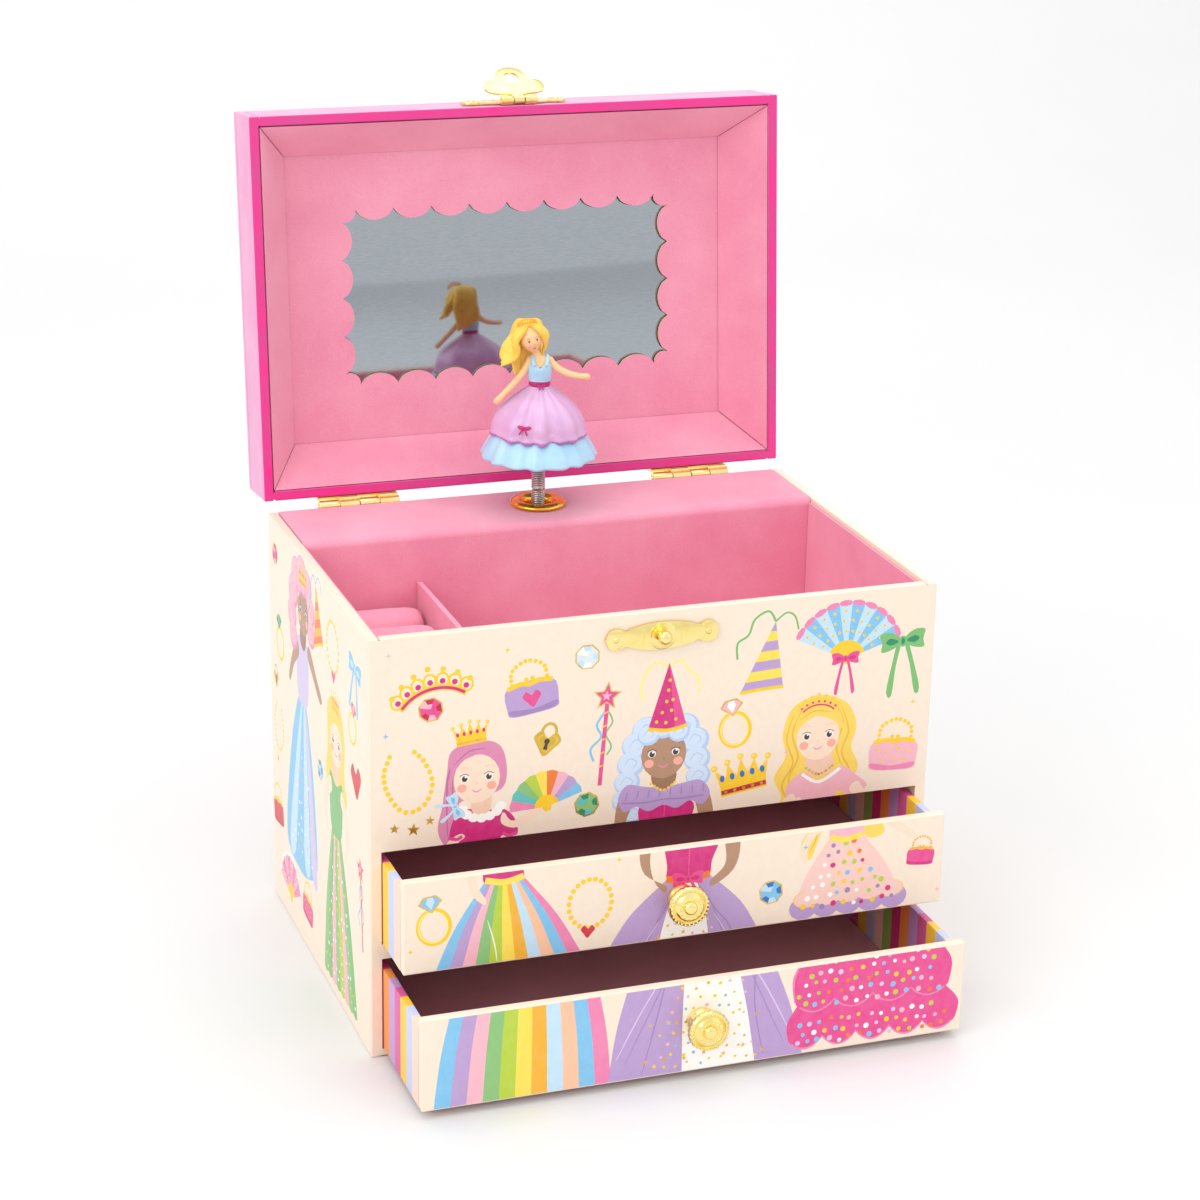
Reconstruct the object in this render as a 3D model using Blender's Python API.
"""Musical jewellery box: a papered board case with a mirrored lid, two drawers, a ring tray,
a wind-up movement and a gowned doll that turns on a coil spring.

Lengths are in millimetres and are turned into metres as each mesh is made.
+X is to the right, +Y to the back, +Z up; the origin is the centre of the case's bottom face.
"""
import math

import bmesh
import bpy
from mathutils import Matrix, Vector

MM = 0.001

# ---- driving dimensions -------------------------------------------------------------------
WIDTH = 180.0
DEPTH = 124.0
HEIGHT = 134.4             # case, without the lid
BOARD = 3.2                # wall boards
THIN = 2.4                 # floors
CARD = 0.8                 # lining card
GAP = 0.3                  # between pieces that touch
LID_HEIGHT = 22.5
LID_TOP = 2.5
LID_OPEN = 95.4            # degrees from closed to the hinge's stop
HINGE_Y = 65.0             # hinge pin, behind the case
HINGE_Z = HEIGHT - 0.6

UPPER_DRAWER = (37.6, 67.2)    # front's lower and upper edge
LOWER_DRAWER = (2.8, 32.4)
UPPER_PULLED = 22.3
LOWER_PULLED = 41.2
COMPARTMENT_FLOOR = 67.6

DECK_FRONT = 28.0          # y of the shelf over the movement
DECK = 2.0
FIGURE_X = -3.0            # the doll's axis
FIGURE_Y = 46.4
MOVEMENT_Z = 90.0          # winding arbor and cylinder

HALF_W = WIDTH / 2
HALF_D = DEPTH / 2
INNER_X = HALF_W - BOARD
INNER_Y = HALF_D - BOARD
DECK_BOTTOM = HEIGHT - DECK
FLOOR_TOP = COMPARTMENT_FLOOR + THIN


# ---- materials ----------------------------------------------------------------------------
def make_material(name, colour, roughness, metallic=0.0):
    material = bpy.data.materials.new(name)
    material.use_nodes = True
    shader = material.node_tree.nodes["Principled BSDF"]
    shader.inputs["Base Color"].default_value = (*colour, 1.0)
    shader.inputs["Roughness"].default_value = roughness
    shader.inputs["Metallic"].default_value = metallic
    return material


# ---- mesh makers --------------------------------------------------------------------------
def add_object(mesh_builder, name, material, parent=None, smooth=False):
    """Turn a bmesh in millimetres, in the box's own frame, into a named object."""
    offset = parent["rest_point"] if parent else (0.0, 0.0, 0.0)
    bmesh.ops.translate(mesh_builder, verts=mesh_builder.verts, vec=-Vector(offset))
    bmesh.ops.scale(mesh_builder, verts=mesh_builder.verts, vec=(MM, MM, MM))
    bmesh.ops.recalc_face_normals(mesh_builder, faces=mesh_builder.faces)
    mesh = bpy.data.meshes.new(name)
    mesh_builder.to_mesh(mesh)
    mesh_builder.free()
    if smooth:
        mesh.shade_smooth()
        mesh.set_sharp_from_angle(angle=math.radians(35))
    mesh.materials.append(material)
    thing = bpy.data.objects.new(name, mesh)
    bpy.context.collection.objects.link(thing)
    if parent:
        thing.parent = parent
    return thing


def axis_empty(name, point, turn=(0.0, 0.0, 0.0), shift=(0.0, 0.0, 0.0), parent=None):
    """An empty on a joint's axis. Its children are drawn unturned around point."""
    empty = bpy.data.objects.new(name, None)
    bpy.context.collection.objects.link(empty)
    base = Vector(parent["rest_point"]) if parent else Vector()
    empty.location = (Vector(point) - base + Vector(shift)) * MM
    empty.rotation_euler = [math.radians(angle) for angle in turn]
    empty.parent = parent
    empty["rest_point"] = point
    return empty


def box_mesh(x, y, z):
    """A block between the two values given for each direction."""
    bm = bmesh.new()
    centre = [(low + high) / 2 for low, high in (x, y, z)]
    size = [high - low for low, high in (x, y, z)]
    matrix = Matrix.Translation(centre) @ Matrix.Diagonal((*size, 1.0))
    bmesh.ops.create_cube(bm, size=1.0, matrix=matrix)
    return bm


def board(name, x, y, z, material, parent=None):
    return add_object(box_mesh(x, y, z), name, material, parent)


def frame_of(axis):
    """Columns that carry local x, y, z onto a frame whose local z lies along the axis."""
    frames = {
        "x": ((0, 1, 0), (0, 0, 1), (1, 0, 0)),
        "y": ((1, 0, 0), (0, 0, 1), (0, -1, 0)),
        "z": ((1, 0, 0), (0, 1, 0), (0, 0, 1)),
    }
    return Matrix(frames[axis]).transposed().to_4x4()


def turned_mesh(profile, axis, centre, steps=24):
    """A solid of revolution. The profile is a list of (radius, height) along the axis."""
    bm = bmesh.new()
    rings = []
    for radius, height in profile:
        if radius == 0.0:
            rings.append([bm.verts.new((0.0, 0.0, height))])
            continue
        angles = [2 * math.pi * step / steps for step in range(steps)]
        rings.append([
            bm.verts.new((radius * math.cos(a), radius * math.sin(a), height)) for a in angles
        ])
    closed_tube = profile[0][0] > 0.0 and profile[-1][0] > 0.0
    pairs = list(zip(rings, rings[1:] + rings[:1])) if closed_tube else list(zip(rings, rings[1:]))
    for first, second in pairs:
        for step in range(steps):
            after = (step + 1) % steps
            corners = [first[step % len(first)], first[after % len(first)],
                       second[after % len(second)], second[step % len(second)]]
            bm.faces.new(list(dict.fromkeys(corners)))
    bmesh.ops.transform(bm, matrix=Matrix.Translation(centre) @ frame_of(axis), verts=bm.verts)
    return bm


def turned(name, profile, axis, centre, material, parent=None, steps=24):
    return add_object(turned_mesh(profile, axis, centre, steps), name, material, parent, smooth=True)


def rod_profile(radius, low, high, bevel=0.0):
    if bevel:
        return [(0.0, low), (radius - bevel, low), (radius, low + bevel),
                (radius, high - bevel), (radius - bevel, high), (0.0, high)]
    return [(0.0, low), (radius, low), (radius, high), (0.0, high)]


def tube_profile(inner, outer, low, high):
    return [(outer, low), (outer, high), (inner, high), (inner, low)]


def extruded_mesh(outline, low, high, axis, centre=(0.0, 0.0, 0.0)):
    """A flat outline, drawn in the axis's own local x and y, extruded along the axis."""
    bm = bmesh.new()
    loops = [[bm.verts.new((x, y, height)) for x, y in outline] for height in (low, high)]
    bm.faces.new(loops[0][::-1])
    bm.faces.new(loops[1])
    for index in range(len(outline)):
        after = (index + 1) % len(outline)
        bm.faces.new((loops[0][index], loops[0][after], loops[1][after], loops[1][index]))
    bmesh.ops.transform(bm, matrix=Matrix.Translation(centre) @ frame_of(axis), verts=bm.verts)
    return bm


def join_or_cut(target, operand, operation):
    """Boolean with the exact solver; the operand stays as a hidden wire guide."""
    operand.hide_render = True
    operand.display_type = "WIRE"
    modifier = target.modifiers.new(operation.title() + "_" + operand.name, "BOOLEAN")
    modifier.operation = operation
    modifier.solver = "EXACT"
    modifier.object = operand
    return target


def cut_hole(target, radius, axis, centre, reach, parent=None, steps=24):
    drill = turned("cut_" + target.name, rod_profile(radius, -reach, reach), axis, centre,
                   target.data.materials[0], parent, steps)
    return join_or_cut(target, drill, "DIFFERENCE")


def union(target, pieces):
    for piece in pieces:
        join_or_cut(target, piece, "UNION")
    return target


# ---- case ---------------------------------------------------------------------------------
def build_case(paper, raw_board):
    fit_x = (-INNER_X + GAP, INNER_X - GAP)
    board("left_side_panel", (-HALF_W, -INNER_X), (-HALF_D, HALF_D), (0.0, HEIGHT), paper)
    board("right_side_panel", (INNER_X, HALF_W), (-HALF_D, HALF_D), (0.0, HEIGHT), paper)
    board("front_panel", fit_x, (-HALF_D, -INNER_Y), (COMPARTMENT_FLOOR, HEIGHT), paper)
    board("bottom_panel", fit_x, (-HALF_D, INNER_Y - GAP), (0.0, THIN), raw_board)
    shelf_z = (LOWER_DRAWER[1] + 0.4, UPPER_DRAWER[0] - 0.4)
    board("drawer_shelf", fit_x, (-HALF_D, INNER_Y - GAP), shelf_z, paper)
    back = board("back_panel", fit_x, (INNER_Y, HALF_D), (0.0, DECK_BOTTOM - GAP), paper)
    cut_hole(back, 2.6, "y", (FIGURE_X, HALF_D, MOVEMENT_Z), 2 * BOARD)


def build_compartment(suede):
    fit_x = (-INNER_X + GAP, INNER_X - GAP)
    floor_y = (-INNER_Y + GAP, INNER_Y - GAP)
    board("compartment_floor", fit_x, floor_y, (COMPARTMENT_FLOOR, FLOOR_TOP), suede)
    wall_z = (FLOOR_TOP + GAP, DECK_BOTTOM - GAP)
    board("mechanism_wall", fit_x, (DECK_FRONT + GAP, DECK_FRONT + THIN), wall_z, suede)
    deck = board("mechanism_deck", fit_x, (DECK_FRONT, HALF_D), (DECK_BOTTOM, HEIGHT), suede)
    cut_hole(deck, 5.6, "z", (FIGURE_X, FIGURE_Y, HEIGHT), 2 * DECK, steps=32)
    build_lining(suede)
    build_ring_tray(suede)


def build_lining(suede):
    """One folded card: left wall, front wall and right wall of the compartment."""
    outer_x = INNER_X - GAP
    outer_y = -INNER_Y + GAP
    back = DECK_FRONT - GAP
    outline = [
        (-outer_x, back), (-outer_x, outer_y), (outer_x, outer_y), (outer_x, back),
        (outer_x - CARD, back), (outer_x - CARD, outer_y + CARD),
        (-outer_x + CARD, outer_y + CARD), (-outer_x + CARD, back),
    ]
    card = extruded_mesh(outline, FLOOR_TOP + GAP, HEIGHT - 0.2, "z")
    add_object(card, "compartment_lining", suede)


RING_ROLLS = 5
ROLL_RADIUS = 8.4
TRAY_X = -48.0             # right face of the divider
DIVIDER_TOP = HEIGHT - 16.2
ROLL_CENTRE_Z = HEIGHT - 29.1


def build_ring_tray(suede):
    """A raised shelf and its divider, one folded board, with padded ring rolls across it."""
    front = -INNER_Y + CARD + 2 * GAP
    back = DECK_FRONT - GAP
    left = -INNER_X + CARD + 2 * GAP
    tray_top = ROLL_CENTRE_Z - ROLL_RADIUS - GAP
    outline = [
        (left, tray_top - THIN), (TRAY_X - 1.6, tray_top - THIN), (TRAY_X - 1.6, FLOOR_TOP + GAP),
        (TRAY_X, FLOOR_TOP + GAP), (TRAY_X, DIVIDER_TOP), (TRAY_X - 1.6, DIVIDER_TOP),
        (TRAY_X - 1.6, tray_top), (left, tray_top),
    ]
    tray = extruded_mesh(outline, -back, -front, "y")
    add_object(tray, "ring_tray", suede)
    pitch = (back - front) / RING_ROLLS
    roll_x = (left + GAP, TRAY_X - 1.6 - GAP)
    middle = sum(roll_x) / 2
    half = (roll_x[1] - roll_x[0]) / 2
    for index in range(RING_ROLLS):
        centre_y = back - (index + 0.5) * pitch
        turned(f"ring_roll_{index + 1}", rod_profile(ROLL_RADIUS - 0.05, -half, half, 1.0), "x",
               (middle, centre_y, ROLL_CENTRE_Z), suede, steps=20)


# ---- lid ----------------------------------------------------------------------------------
LID_BASE = HEIGHT + GAP
LID_BOARD_TOP = HEIGHT + LID_HEIGHT - LID_TOP - GAP
LINING_INSET = 11.2        # how far the sloped lining leans in
LINING_DEPTH = 17.4


def build_lid(lid, paper, suede, glass):
    fit_x = (-INNER_X + GAP, INNER_X - GAP)
    board_z = (LID_BASE, LID_BOARD_TOP)
    board("lid_left_board", (-HALF_W, -INNER_X), (-HALF_D, HALF_D), board_z, paper, lid)
    board("lid_right_board", (INNER_X, HALF_W), (-HALF_D, HALF_D), board_z, paper, lid)
    board("lid_front_board", fit_x, (-HALF_D, -INNER_Y), board_z, paper, lid)
    board("lid_back_board", fit_x, (INNER_Y, HALF_D), board_z, paper, lid)
    top_z = (LID_BOARD_TOP + GAP, HEIGHT + LID_HEIGHT)
    board("lid_top_panel", (-HALF_W, HALF_W), (-HALF_D, HALF_D), top_z, paper, lid)
    add_object(sloped_frame(), "lid_lining", suede, lid)
    window_low = HEIGHT + LINING_DEPTH + GAP
    card_x = INNER_X - LINING_INSET + 1.0
    card_y = INNER_Y - LINING_INSET + 1.0
    card = board("mirror_window_card", (-card_x, card_x), (-card_y, card_y),
                 (window_low, window_low + CARD), suede, lid)
    outline = scalloped_outline()
    cutter = add_object(extruded_mesh(outline, window_low - CARD, window_low + 2 * CARD, "z"),
                        "cut_window", suede, lid)
    join_or_cut(card, cutter, "DIFFERENCE")
    mirror_low = window_low + CARD + GAP
    board("mirror", (-66.0, 66.0), (-38.0, 38.0), (mirror_low, mirror_low + 0.9), glass, lid)


def sloped_frame():
    """Four leaning cards in one piece, from the rim in to the mirror card."""
    bm = bmesh.new()
    outer = (INNER_X - GAP, INNER_Y - GAP)
    inner = (outer[0] - LINING_INSET, outer[1] - LINING_INSET)
    levels = [
        (outer, LID_BASE + 0.3), (inner, HEIGHT + LINING_DEPTH),
        ((inner[0] + 1.0, inner[1] + 1.0), HEIGHT + LINING_DEPTH),
        ((outer[0], outer[1]), LID_BASE + 1.8),
    ]
    rings = []
    for (x, y), z in levels:
        corners = ((-x, -y), (x, -y), (x, y), (-x, y))
        rings.append([bm.verts.new((cx, cy, z)) for cx, cy in corners])
    for first, second in zip(rings, rings[1:] + rings[:1]):
        for side in range(4):
            after = (side + 1) % 4
            bm.faces.new((first[side], first[after], second[after], second[side]))
    return bm


WINDOW_X = (52.0, 57.0)    # half width to the last top cusp, and to the side cusps
WINDOW_Y = (25.2, 29.0)    # half height to the last side cusp, and to the top cusps
TOP_LOBES = 8
SIDE_LOBES = 4
LOBE_RISE = 3.6


def scalloped_outline():
    """Cusps lie on a rounded rectangle, and an arc bulges inward between each two of them."""
    x_in, x_out = WINDOW_X
    y_in, y_out = WINDOW_Y
    cusps = []
    cusps += [(-x_in + 2 * x_in * i / TOP_LOBES, -y_out) for i in range(TOP_LOBES + 1)]
    cusps += [(x_out, -y_in + 2 * y_in * i / SIDE_LOBES) for i in range(SIDE_LOBES + 1)]
    cusps += [(x_in - 2 * x_in * i / TOP_LOBES, y_out) for i in range(TOP_LOBES + 1)]
    cusps += [(-x_out, y_in - 2 * y_in * i / SIDE_LOBES) for i in range(SIDE_LOBES + 1)]
    outline = []
    for (ax, ay), (bx, by) in zip(cusps, cusps[1:] + cusps[:1]):
        outline.append((ax, ay))
        length = math.hypot(bx - ax, by - ay)
        inward = (-(by - ay) / length, (bx - ax) / length)
        rise = LOBE_RISE * min(1.0, length / 12.0)
        for part in (0.2, 0.5, 0.8):
            lift = rise * math.sin(math.pi * part) ** 0.6
            x = ax + (bx - ax) * part + inward[0] * lift
            y = ay + (by - ay) * part + inward[1] * lift
            outline.append((x, y))
    return outline


# ---- hinges, catch and hasp ---------------------------------------------------------------
HINGES = (("left", -58.7), ("right", 57.6))
HINGE_LENGTH = 27.0
KNUCKLES = 4
KNUCKLE_RADIUS = 2.0
PIN_RADIUS = 0.65
LEAF_Y = (HALF_D + GAP, HALF_D + 1.3)
LEAF_DEPTH = 9.0
SEAT = 0.1                 # keeps the faces of joined shapes from lying on each other


def build_hinge(side, centre_x, lid, brass):
    """The case leaf carries the pin; the lid leaf's knuckles turn on it."""
    pitch = HINGE_LENGTH / KNUCKLES
    spans = []
    for index in range(KNUCKLES):
        start = centre_x - HINGE_LENGTH / 2 + index * pitch
        spans.append((start + GAP / 2, start + pitch - GAP / 2))
    leaf_x = (spans[0][0], spans[-1][1])
    centre = (0.0, HINGE_Y, HINGE_Z)
    seam = 1.6

    case_z = (HINGE_Z - seam - LEAF_DEPTH, HINGE_Z - seam)
    case_leaf = board(f"hinge_{side}_case_leaf", leaf_x, LEAF_Y, case_z, brass)
    stepped = [(0.0, leaf_x[0] - 0.5), (PIN_RADIUS, leaf_x[0] - 0.5)]
    for low, high in spans[0::2]:
        stepped += [(PIN_RADIUS, low), (KNUCKLE_RADIUS, low), (KNUCKLE_RADIUS, high), (PIN_RADIUS, high)]
    stepped += [(PIN_RADIUS, leaf_x[1] + 0.5), (0.0, leaf_x[1] + 0.5)]
    barrels = turned(f"case_barrels_{side}", stepped, "x", centre, brass, None, 16)
    webs = add_object(web_mesh(spans[0::2], case_z[0] + 1.0, HINGE_Z - SEAT), f"case_webs_{side}", brass)
    union(case_leaf, [webs, barrels])

    lid_z = (HINGE_Z + seam, HINGE_Z + seam + LEAF_DEPTH)
    lid_leaf = board(f"hinge_{side}_lid_leaf", leaf_x, LEAF_Y, lid_z, brass, lid)
    webs = add_object(web_mesh(spans[1::2], HINGE_Z + SEAT, lid_z[1] - 1.0), f"lid_webs_{side}", brass,
                      lid)
    union(lid_leaf, [webs])
    for number, (low, high) in enumerate(spans[1::2]):
        rod = rod_profile(KNUCKLE_RADIUS, low, high)
        union(lid_leaf, [turned(f"lid_barrel_{side}_{number}", rod, "x", centre, brass, lid, 16)])
    bore = rod_profile(PIN_RADIUS + GAP, leaf_x[0] - 1.0, leaf_x[1] + 1.0)
    bore = turned(f"lid_bore_{side}", bore, "x", centre, brass, lid, 16)
    join_or_cut(lid_leaf, bore, "DIFFERENCE")


def web_mesh(spans, low, high):
    """Blocks that carry the leaf up to the middle of its own knuckles."""
    bm = bmesh.new()
    for start, end in spans:
        centre = ((start + end) / 2, sum(LEAF_Y) / 2, (low + high) / 2)
        size = (end - start - 2 * SEAT, LEAF_Y[1] - LEAF_Y[0] - 2 * SEAT, high - low)
        matrix = Matrix.Translation(centre) @ Matrix.Diagonal((*size, 1.0))
        bmesh.ops.create_cube(bm, size=1.0, matrix=matrix)
    return bm


PLATE_WIDTH = 36.0
PLATE_HALF = 4.3
CATCH_Z = 126.9
FITTING = 0.8              # sheet brass


def lobed_outline():
    """A plate with a wide middle, two waists and a round lobe at each end."""
    half = PLATE_WIDTH / 2
    lobe = 3.4
    upper = []
    steps = 36
    for step in range(steps + 1):
        x = -half + PLATE_WIDTH * step / steps
        from_lobe = abs(x) - (half - lobe)
        in_lobe = math.sqrt(max(0.0, lobe ** 2 - from_lobe ** 2))
        waist = 2.4 + 1.9 * max(0.0, math.cos(math.pi * min(abs(x), 11.0) / 22.0)) ** 0.7
        height = in_lobe if from_lobe > 0 else max(in_lobe, min(waist, PLATE_HALF))
        upper.append((x, height))
    lower = [(x, -height) for x, height in reversed(upper[1:-1])]
    return upper + lower


def build_catch(brass):
    """Catch plate with its stud, on the case front."""
    front = -HALF_D - GAP
    outline = [(x, z + CATCH_Z) for x, z in lobed_outline()]
    plate = add_object(extruded_mesh(outline, -front, -front + FITTING, "y"), "catch_plate", brass)
    stud = [(0.0, -0.4), (1.5, -0.4), (1.5, 0.6), (1.1, 1.0), (1.9, 1.6), (2.2, 2.4),
            (1.9, 3.2), (1.1, 3.8), (0.0, 4.0)]
    knob = turned("stud_guide", stud, "y", (0.0, front - FITTING, CATCH_Z), brass)
    union(plate, [knob])


HASP_Y = -HALF_D - GAP - 1.5
HASP_Z = HEIGHT + 2.6
HASP_TURN = 143.0          # from hanging over the stud to where it stands in use
HASP_HALF = 6.0            # half length of the hasp's barrel


def build_hasp(lid, flap_axis, brass):
    """Base plate on the lid front, and the flap that drops over the stud."""
    front = -HALF_D - GAP
    outline = [(x, z + HASP_Z + 1.6 + PLATE_HALF) for x, z in lobed_outline()]
    plate = add_object(extruded_mesh(outline, -front, -front + FITTING, "y"), "hasp_plate", brass, lid)
    pieces = []
    for number, low in enumerate((-HASP_HALF, 2.0)):
        span = (low, low + 4.0)
        barrel = turned_mesh(rod_profile(1.3, *span), "x", (0.0, HASP_Y, HASP_Z), 16)
        pieces.append(add_object(barrel, f"hasp_barrel_{number}", brass, lid))
        web = box_mesh(span, (-HALF_D - GAP - FITTING, -HALF_D - GAP), (HASP_Z, HASP_Z + 4.0))
        pieces.append(add_object(web, f"hasp_web_{number}", brass, lid))
    pin = turned_mesh(rod_profile(0.45, -3.0, 3.0), "x", (0.0, HASP_Y, HASP_Z), 16)
    pieces.append(add_object(pin, "hasp_pin", brass, lid))
    union(plate, pieces)

    reach = HASP_Z - CATCH_Z
    flap_y = (HASP_Y - 0.4, HASP_Y + 0.4)
    flap_outline = [(x, HASP_Z - z) for x, z in flap_profile(reach)]
    flap = add_object(extruded_mesh(flap_outline, -flap_y[1], -flap_y[0], "y"), "hasp_flap", brass,
                      flap_axis)
    centre = (0.0, HASP_Y, HASP_Z)
    knuckle = turned_mesh(rod_profile(1.3, -1.7, 1.7), "x", centre, 16)
    union(flap, [add_object(knuckle, "flap_knuckle", brass, flap_axis)])
    bore = turned_mesh(rod_profile(0.75, -3.0, 3.0), "x", centre, 16)
    join_or_cut(flap, add_object(bore, "flap_bore", brass, flap_axis), "DIFFERENCE")
    hole = turned_mesh(rod_profile(2.7, -3.0, 3.0), "y", (0.0, HASP_Y, CATCH_Z), 20)
    join_or_cut(flap, add_object(hole, "flap_hole", brass, flap_axis), "DIFFERENCE")


def flap_profile(reach):
    """Half of the flap: a tongue at the knuckle, shoulders, then a three-lobed foot."""
    half = [(1.7, 0.0), (1.7, 2.0), (4.0, 2.6), (6.6, 2.8)]
    for step in range(7):
        angle = math.radians(-80 + 32 * step)
        half.append((7.2 + 3.0 * math.cos(angle), 6.0 + 3.0 * math.sin(angle)))
    for step in range(6):
        angle = math.radians(12 + 15.6 * step)
        half.append((5.2 * math.cos(angle), reach + 0.6 + 4.4 * math.sin(angle)))
    mirrored = [(-x, depth) for x, depth in reversed(half) if x > 0.01]
    return half + mirrored


# ---- drawers ------------------------------------------------------------------------------
DRAWER_HALF = 86.2
DRAWER_SIDE = 2.4
DRAWER_BACK = 55.0
KNOB_PROFILE = [               # radius, height over the drawer front; the stud runs through it
    (0.0, 9.4), (4.6, 9.0), (5.6, 8.0), (6.5, 6.6), (6.4, 5.6), (5.2, 4.9), (3.6, 4.4),
    (3.2, 2.6), (4.4, 1.2), (4.4, GAP), (1.6, GAP), (1.6, -5.4), (0.0, -5.8),
]


def build_drawer(level, edges, pulled, knob_z, paper, stripes, liner, brass):
    """Drawn shut around its own slide, which the empty then pulls out."""
    low, high = edges
    slide = axis_empty(f"{level}_drawer_slide", (0.0, 0.0, low), shift=(0.0, -pulled, 0.0))
    inner_front = -HALF_D + BOARD
    side_z = (low, high - 3.0)
    front = board(f"{level}_drawer_front", (-DRAWER_HALF, DRAWER_HALF), (-HALF_D, inner_front),
                  edges, paper, slide)
    cut_hole(front, 2.0, "y", (0.0, -HALF_D, knob_z), 2 * BOARD, slide, 16)
    side_y = (inner_front + GAP, DRAWER_BACK)
    inner_x = DRAWER_HALF - DRAWER_SIDE
    board(f"{level}_drawer_left_side", (-DRAWER_HALF, -inner_x), side_y, side_z, stripes, slide)
    board(f"{level}_drawer_right_side", (inner_x, DRAWER_HALF), side_y, side_z, stripes, slide)
    fit_x = (-inner_x + GAP, inner_x - GAP)
    back_y = (DRAWER_BACK - DRAWER_SIDE, DRAWER_BACK)
    board(f"{level}_drawer_back", fit_x, back_y, side_z, stripes, slide)
    floor_y = (inner_front + GAP, back_y[0] - GAP)
    board(f"{level}_drawer_bottom", fit_x, floor_y, (low + 0.4, low + 2.2), liner, slide)
    turned(f"{level}_drawer_knob", KNOB_PROFILE, "y", (0.0, -HALF_D, knob_z), brass, slide, 28)


# ---- movement -----------------------------------------------------------------------------
GREAT_TEETH = 36
PINION_TEETH = 8
GREAT_RADIUS = 13.5        # mean radius of the crown teeth
PINION_RADIUS = GREAT_RADIUS * PINION_TEETH / GREAT_TEETH
HOUSING_RADIUS = 11.6
DRUM_RADIUS = 6.0
DRIVE_TEETH = 30           # spur wheel on the cylinder
FAN_TEETH = 8
SPUR_MODULE = 0.42
FAN_OFFSET = SPUR_MODULE * (DRIVE_TEETH + FAN_TEETH) / 2 + 0.25
POST_X = (12.4, 41.4)      # the two bearing posts


def toothed_outline(teeth, root, tip, share, turn=0.0):
    """A closed outline of tapered teeth; share is the tooth's part of the pitch at the root."""
    outline = []
    pitch = 2 * math.pi / teeth
    for tooth in range(teeth):
        middle = turn + tooth * pitch
        for radius, offset in ((root, -share / 2), (tip, -share / 4), (tip, share / 4),
                               (root, share / 2)):
            angle = middle + offset * pitch
            outline.append((radius * math.cos(angle), radius * math.sin(angle)))
    return outline


def build_movement(steel, brass, arbor_axis, cylinder_axis, fan_axis, dancer_axis):
    centre = (FIGURE_X, FIGURE_Y, MOVEMENT_Z)
    plate_z = (FLOOR_TOP + GAP, FLOOR_TOP + GAP + 1.8)
    plate = board("movement_bedplate", (-24.0, 53.0), (32.0, 57.6), plate_z, steel)
    posts = []
    for number, x in enumerate(POST_X):
        post = box_mesh((x, x + 1.4), (FIGURE_Y - 3.0, FIGURE_Y + 3.0),
                        (plate_z[0] + 0.5, MOVEMENT_Z + FAN_OFFSET + 3.0))
        posts.append(add_object(post, f"post_{number}", steel))
    stand = box_mesh((-11.0, 5.0), (54.0, 56.0), (plate_z[0] + 0.5, MOVEMENT_Z - HOUSING_RADIUS - 0.4))
    posts.append(add_object(stand, "spring_stand", steel))
    union(plate, posts)
    for number, x in enumerate(POST_X):
        for height, radius in ((MOVEMENT_Z, 1.35), (MOVEMENT_Z + FAN_OFFSET, 0.95)):
            hole = turned_mesh(rod_profile(radius, -2.0, 4.0), "x", (x, FIGURE_Y, height), 16)
            cutter = add_object(hole, f"bearing_{number}_{height:.0f}", steel)
            join_or_cut(plate, cutter, "DIFFERENCE")

    housing = tube_profile(2.5, HOUSING_RADIUS, -56.2, -51.6)
    turned("mainspring_housing", housing, "y", (FIGURE_X, 0.0, MOVEMENT_Z), brass, steps=32)
    build_comb(steel)
    build_arbor(centre, arbor_axis, brass, steel)
    build_cylinder(cylinder_axis, brass)
    build_fan(fan_axis, brass)
    build_dancer_shaft(dancer_axis, steel)


def build_comb(steel):
    """Steel comb: a solid back and one long tooth for each note."""
    teeth = 14
    low_x = 16.5
    pitch = 1.5
    outline = [(low_x, 33.0), (low_x + teeth * pitch, 33.0)]
    for tooth in reversed(range(teeth)):
        start = low_x + tooth * pitch
        outline += [(start + 1.2, 36.0), (start + 1.2, 39.6), (start + 0.3, 39.6), (start + 0.3, 36.0)]
    comb = extruded_mesh(outline, MOVEMENT_Z - 0.5, MOVEMENT_Z + 0.5, "z")
    comb = add_object(comb, "music_comb", steel)
    foot_z = (FLOOR_TOP + 2.1 + 2 * GAP, MOVEMENT_Z)
    foot = box_mesh((low_x + 1.0, low_x + 20.0), (33.4, 35.6), foot_z)
    union(comb, [add_object(foot, "comb_foot", steel)])


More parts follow.
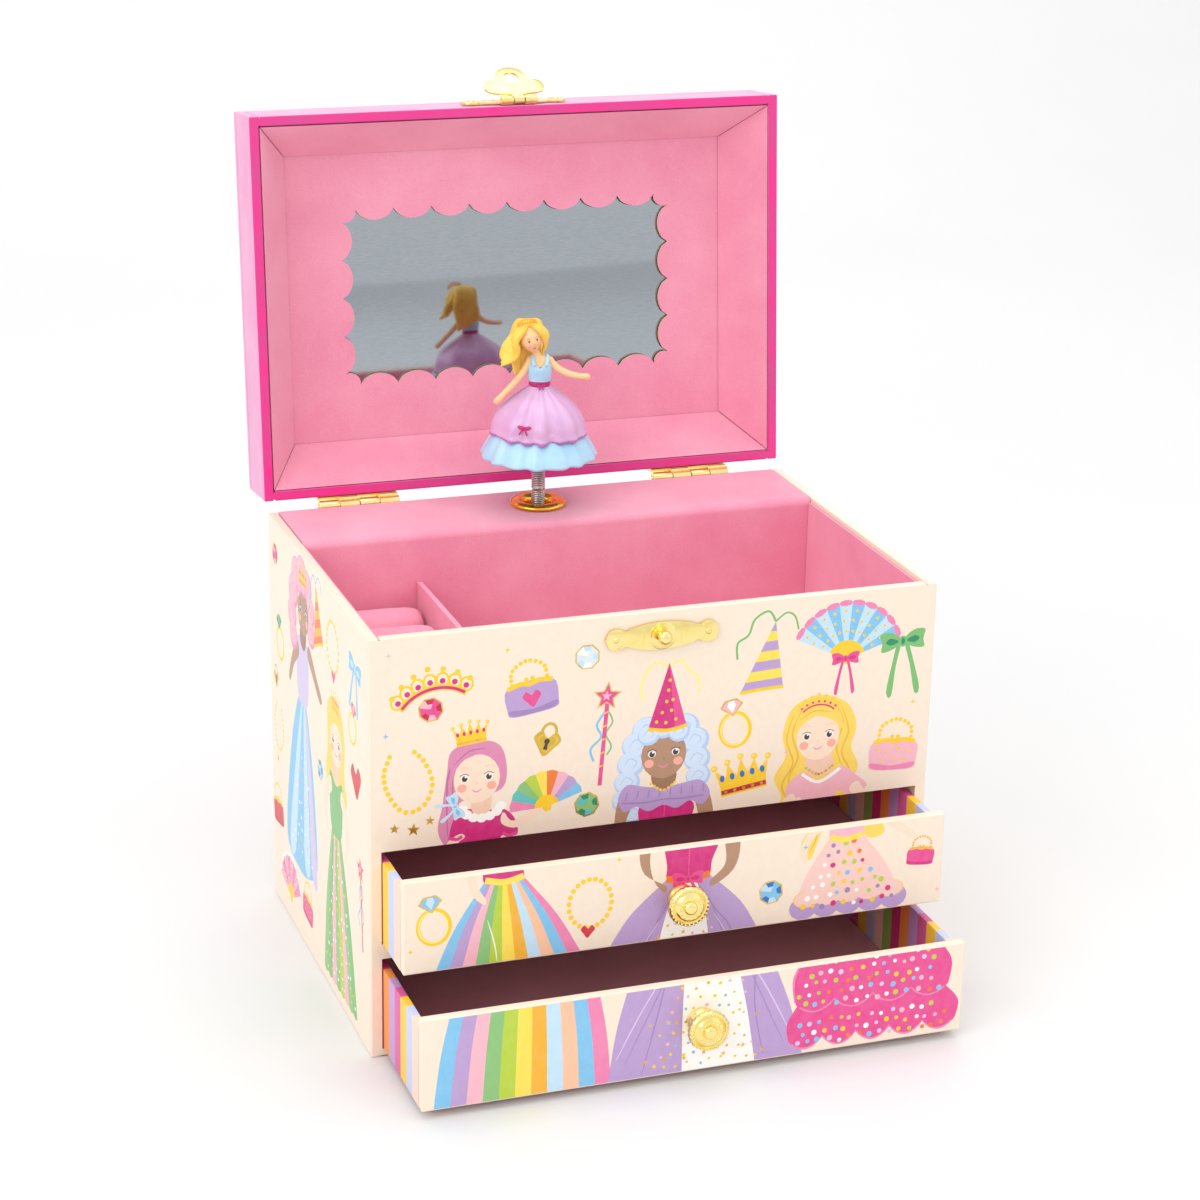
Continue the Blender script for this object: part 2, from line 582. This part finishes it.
def build_arbor(centre, axis, brass, steel):
    """Crown wheel on the winding arbor, and the wing key on its outer end."""
    face = -(FIGURE_Y + PINION_RADIUS)
    rear = face - 1.9
    rim_in, rim_out = GREAT_RADIUS - 1.4, GREAT_RADIUS + 1.4
    wheel = [(0.0, rear), (rim_out, rear), (rim_out, face - 0.95), (rim_in, face - 0.95),
             (8.0, face - 1.2), (0.0, face - 1.2)]
    wheel_centre = (FIGURE_X, 0.0, MOVEMENT_Z)
    crown = turned("great_wheel", wheel, "y", wheel_centre, brass, axis, 36)
    rim = []
    bm = bmesh.new()
    for tooth in range(GREAT_TEETH):
        angle = 2 * math.pi * (tooth + 0.5) / GREAT_TEETH
        turn = Matrix.Translation(wheel_centre) @ frame_of("y") @ Matrix.Rotation(angle, 4, "Z")
        size = Matrix.Diagonal((2.4, 0.9, 1.9, 1.0))
        place = Matrix.Translation((GREAT_RADIUS, 0.0, face - 0.3))
        bmesh.ops.create_cube(bm, size=1.0, matrix=turn @ place @ size)
    rim.append(add_object(bm, "crown_teeth", brass, axis))
    shaft = turned_mesh(rod_profile(2.0, -HALF_D - 7.0, face - 1.5), "y", wheel_centre, 16)
    rim.append(add_object(shaft, "arbor_rod", brass, axis))
    union(crown, rim)

    back = -HALF_D - 1.0
    shank = [(0.0, back - 9.0), (3.2, back - 9.0), (3.2, back - 3.0), (4.0, back - 2.0), (4.0, back),
             (2.3, back), (2.3, back - 6.6), (0.0, back - 6.6)]
    key = turned("winding_key", shank, "y", wheel_centre, steel, axis, 20)
    wing = box_mesh((FIGURE_X - 11.0, FIGURE_X + 11.0), (HALF_D + 9.0, HALF_D + 19.0),
                    (MOVEMENT_Z - 0.8, MOVEMENT_Z + 0.8))
    wing = add_object(wing, "key_wing", steel, axis)
    bevel = wing.modifiers.new("round_wing", "BEVEL")
    bevel.width = 4.0 * MM
    bevel.segments = 4
    bevel.limit_method = "WEIGHT"
    weight_thickness_edges(wing)
    union(key, [wing])


def weight_thickness_edges(thing):
    """Mark for the bevel only the short edges that run through a flat plate's thickness."""
    mesh = thing.data
    weights = mesh.attributes.new("bevel_weight_edge", "FLOAT", "EDGE")
    for edge in mesh.edges:
        first, second = (mesh.vertices[index].co for index in edge.vertices)
        weights.data[edge.index].value = 1.0 if abs(first.z - second.z) > 1e-5 else 0.0


def build_cylinder(axis, brass):
    """Pinned cylinder: pinion in the crown wheel at one end, spur wheel at the other."""
    centre = (0.0, FIGURE_Y, MOVEMENT_Z)
    drum = turned("pinned_cylinder", rod_profile(DRUM_RADIUS, 15.5, 37.0), "x", centre, brass, axis, 28)
    pinion = toothed_outline(PINION_TEETH, PINION_RADIUS - 0.95, PINION_RADIUS + 0.5, 0.5)
    pieces = [add_object(extruded_mesh(pinion, 8.9, 12.0, "x", centre), "cylinder_pinion", brass, axis)]
    wheel_tip = SPUR_MODULE * (DRIVE_TEETH / 2 + 0.8)
    wheel = toothed_outline(DRIVE_TEETH, wheel_tip - 0.75, wheel_tip, 0.5)
    pieces.append(add_object(extruded_mesh(wheel, 38.2, 39.8, "x", centre), "drive_wheel", brass, axis))
    rod = turned_mesh(rod_profile(1.0, 8.6, 44.0), "x", centre, 12)
    pieces.append(add_object(rod, "cylinder_rod", brass, axis))
    union(drum, pieces)


def build_fan(axis, brass):
    """Air fan that steadies the speed: a pinion over the drive wheel, and blades past the post."""
    centre = (0.0, FIGURE_Y, MOVEMENT_Z + FAN_OFFSET)
    tip = SPUR_MODULE * (FAN_TEETH / 2 + 0.7)
    turn = math.pi / 2
    outline = toothed_outline(FAN_TEETH, tip - 0.7, tip, 0.45, turn)
    pinion = add_object(extruded_mesh(outline, 38.0, 40.0, "x", centre), "governor_fan", brass, axis)
    rod = turned_mesh(rod_profile(0.6, 11.6, 51.6), "x", centre, 12)
    blade = box_mesh((44.0, 51.0), (FIGURE_Y - 4.4, FIGURE_Y + 4.4),
                     (centre[2] - 0.3, centre[2] + 0.3))
    union(pinion, [add_object(rod, "fan_rod", brass, axis), add_object(blade, "fan_blade", brass, axis)])


def build_dancer_shaft(axis, steel):
    """Upright shaft from the crown wheel to the grommet, where the coil spring grips it."""
    centre = (FIGURE_X, FIGURE_Y, 0.0)
    mesh_z = MOVEMENT_Z + GREAT_RADIUS
    outline = toothed_outline(PINION_TEETH, PINION_RADIUS - 0.95, PINION_RADIUS + 0.5, 0.5)
    pinion = extruded_mesh(outline, mesh_z - 1.6, mesh_z + 1.6, "z", centre)
    shaft = add_object(pinion, "dancer_shaft", steel, axis)
    rod = turned_mesh(rod_profile(1.4, mesh_z - 4.0, DECK_BOTTOM), "z", centre, 16)
    cup = turned_mesh(rod_profile(3.0, DECK_BOTTOM - 4.0, DECK_BOTTOM - 0.6), "z", centre, 20)
    union(shaft, [add_object(rod, "shaft_rod", steel, axis), add_object(cup, "spring_cup", steel, axis)])


# ---- grommet, spring and doll -------------------------------------------------------------
SPRING_RADIUS = 2.2
FOLD_Z = HEIGHT + 5.7      # where the spring starts to bend as the lid shuts
HEM_Z = HEIGHT + 16.8
WAIST_Z = HEM_Z + 24.0     # the spring's upper end, inside the skirt
UPPER_HEM_Z = HEIGHT + 24.6


def build_grommet(brass):
    profile = [(5.2, -3.4), (5.2, 0.0 + GAP), (8.9, GAP), (9.3, 0.9), (8.9, 1.7), (7.8, 2.2),
               (6.4, 2.2), (5.0, 1.6), (4.6, 0.8), (4.6, -3.4)]
    turned("deck_grommet", profile, "z", (FIGURE_X, FIGURE_Y, HEIGHT), brass, steps=32)


def build_spring(steel, dancer_axis, fold_axis, stretch_axis, tip_axis):
    centre = (FIGURE_X, FIGURE_Y, 0.0)
    spans = (
        ("spring_base", DECK_BOTTOM + GAP, FOLD_Z - GAP, dancer_axis),
        ("spring_lower", FOLD_Z, FOLD_Z + 15.0, fold_axis),
        ("spring_upper", FOLD_Z + 15.0 + GAP, WAIST_Z - 3.0, stretch_axis),
    )
    for name, low, high, axis in spans:
        turned(name, rod_profile(SPRING_RADIUS, low, high), "z", centre, steel, axis, 16)
    tip = rod_profile(1.5, WAIST_Z - 3.0 + GAP, WAIST_Z - 0.8)
    turned("spring_tip", tip, "z", centre, steel, tip_axis, 16)


# Heights over each hem, with the radius there.
LOWER_SKIRT = ((0.0, 18.4), (1.6, 17.9), (6.0, 15.2), (12.0, 11.0), (18.0, 7.2))
LOWER_HOLLOW = ((0.0, 13.0), (8.0, 9.0), (18.0, 6.0))
UPPER_SKIRT = ((0.0, 15.6), (2.0, 16.2), (5.0, 15.0), (9.0, 11.0), (12.5, 7.0), (15.4, 3.8))
UPPER_HOLLOW = ((0.0, 14.7), (5.0, 13.9), (9.0, 10.0), (12.5, 6.0), (15.4, 2.9))


def skirt_profile(outside, hollow, hem):
    """Outer side from the hem up, then the hollow back down."""
    up = [(radius, hem + height) for height, radius in outside]
    down = [(radius, hem + height) for height, radius in reversed(hollow)]
    return up + down


def build_doll(axis, gown, overskirt, skin, hair):
    centre = (FIGURE_X, FIGURE_Y, 0.0)
    lower = skirt_profile(LOWER_SKIRT, LOWER_HOLLOW, HEM_Z)
    turned("doll_underskirt", lower, "z", centre, gown, axis, 32)
    upper = skirt_profile(UPPER_SKIRT, UPPER_HOLLOW, UPPER_HEM_Z)
    turned("doll_overskirt", upper, "z", centre, overskirt, axis, 32)

    waist = UPPER_HEM_Z + UPPER_SKIRT[-1][0] + GAP
    body = [(0.0, waist), (3.2, waist), (3.4, waist + 2.0), (4.6, waist + 6.0), (4.4, waist + 8.2),
            (1.7, waist + 9.4), (1.6, waist + 10.4), (3.0, waist + 11.4), (3.9, waist + 14.0),
            (3.9, waist + 16.4), (2.8, waist + 18.8), (0.0, waist + 19.6)]
    torso = turned("doll_body", body, "z", centre, skin, axis, 20)
    arms = [add_object(arm_mesh(side, waist), f"arm_{name}", skin, axis)
            for name, side in (("left", -1.0), ("right", 1.0))]
    union(torso, arms)
    build_hair(centre, waist, hair, axis)


ARM_PATH = [(2.6, 0.0, 7.2), (6.0, -0.4, 5.2), (9.6, -1.0, 3.0), (13.0, -1.6, 1.2), (15.4, -2.0, -0.6)]


def arm_mesh(side, waist):
    """A tapered arm, held low and away from the skirt, made of rings square to its path."""
    bm = bmesh.new()
    rings = []
    points = [Vector((side * x + FIGURE_X, y + FIGURE_Y, z + waist)) for x, y, z in ARM_PATH]
    for index, point in enumerate(points):
        ahead = points[min(index + 1, len(points) - 1)]
        behind = points[max(index - 1, 0)]
        turn = (ahead - behind).to_track_quat("Z", "Y").to_matrix()
        radius = 1.6 - 0.12 * index
        ring = []
        for step in range(8):
            angle = 2 * math.pi * step / 8
            ring.append(bm.verts.new(point + turn @ Vector((radius * math.cos(angle),
                                                            radius * math.sin(angle), 0.0))))
        rings.append(ring)
    for first, second in zip(rings, rings[1:]):
        for step in range(8):
            after = (step + 1) % 8
            bm.faces.new((first[step], first[after], second[after], second[step]))
    bm.faces.new(rings[0][::-1])
    bm.faces.new(rings[-1])
    return bm


def build_hair(centre, waist, hair, axis):
    """A fall of hair down the back, clear of the head by the usual gap."""
    x, y, _ = centre
    outline = []
    for step in range(9):
        angle = math.radians(20 + 140 * step / 8)
        outline.append((5.4 * math.cos(angle), 4.9 * math.sin(angle)))
    for step in range(9):
        angle = math.radians(160 - 140 * step / 8)
        outline.append((4.3 * math.cos(angle), 4.3 * math.sin(angle)))
    bm = extruded_mesh(outline, waist + 10.2, waist + 18.6, "z", (x, y, 0.0))
    add_object(bm, "doll_hair", hair, axis)


# ---- assembly -----------------------------------------------------------------------------
def main():
    for thing in list(bpy.data.objects):
        bpy.data.objects.remove(thing, do_unlink=True)

    paper = make_material("printed_paper", (0.96, 0.83, 0.68), 0.5)
    lid_paper = make_material("lid_paper", (0.80, 0.03, 0.25), 0.45)
    raw_board = make_material("base_board", (0.45, 0.32, 0.22), 0.8)
    suede = make_material("pink_suede", (0.86, 0.28, 0.42), 0.95)
    stripes = make_material("striped_paper", (0.85, 0.35, 0.55), 0.55)
    liner = make_material("drawer_liner", (0.35, 0.12, 0.20), 0.9)
    glass = make_material("mirror_glass", (0.85, 0.87, 0.89), 0.03, 1.0)
    brass = make_material("brass", (0.90, 0.72, 0.30), 0.25, 1.0)
    steel = make_material("steel", (0.62, 0.62, 0.64), 0.3, 1.0)
    gown = make_material("gown_blue", (0.42, 0.68, 0.88), 0.35)
    overskirt = make_material("gown_lilac", (0.68, 0.38, 0.68), 0.35)
    skin = make_material("doll_skin", (0.92, 0.58, 0.32), 0.4)
    hair = make_material("doll_hair", (0.95, 0.66, 0.08), 0.4)

    lid = axis_empty("lid_axis", (0.0, HINGE_Y, HINGE_Z), turn=(-LID_OPEN, 0.0, 0.0))
    flap_axis = axis_empty("hasp_axis", (0.0, HASP_Y, HASP_Z), turn=(-HASP_TURN, 0.0, 0.0), parent=lid)
    arbor_axis = axis_empty("arbor_axis", (FIGURE_X, FIGURE_Y, MOVEMENT_Z))
    cylinder_axis = axis_empty("cylinder_axis", (0.0, FIGURE_Y, MOVEMENT_Z))
    fan_axis = axis_empty("fan_axis", (0.0, FIGURE_Y, MOVEMENT_Z + FAN_OFFSET))
    dancer_axis = axis_empty("dancer_axis", (FIGURE_X, FIGURE_Y, HEIGHT))
    fold_axis = axis_empty("fold_axis", (FIGURE_X, FIGURE_Y, FOLD_Z))
    stretch_axis = axis_empty("stretch_axis", (FIGURE_X, FIGURE_Y, FOLD_Z + 15.0))
    tip_axis = axis_empty("spring_tip_axis", (FIGURE_X, FIGURE_Y, WAIST_Z))
    doll_axis = axis_empty("doll_axis", (FIGURE_X, FIGURE_Y, WAIST_Z))

    build_case(paper, raw_board)
    build_compartment(suede)
    build_lid(lid, lid_paper, suede, glass)
    for side, centre_x in HINGES:
        build_hinge(side, centre_x, lid, brass)
    build_catch(brass)
    build_hasp(lid, flap_axis, brass)
    build_drawer("upper", UPPER_DRAWER, UPPER_PULLED, 51.0, paper, stripes, liner, brass)
    build_drawer("lower", LOWER_DRAWER, LOWER_PULLED, 19.2, paper, stripes, liner, brass)
    build_movement(steel, brass, arbor_axis, cylinder_axis, fan_axis, dancer_axis)
    build_grommet(brass)
    build_spring(steel, dancer_axis, fold_axis, stretch_axis, tip_axis)
    build_doll(doll_axis, gown, overskirt, skin, hair)


main()
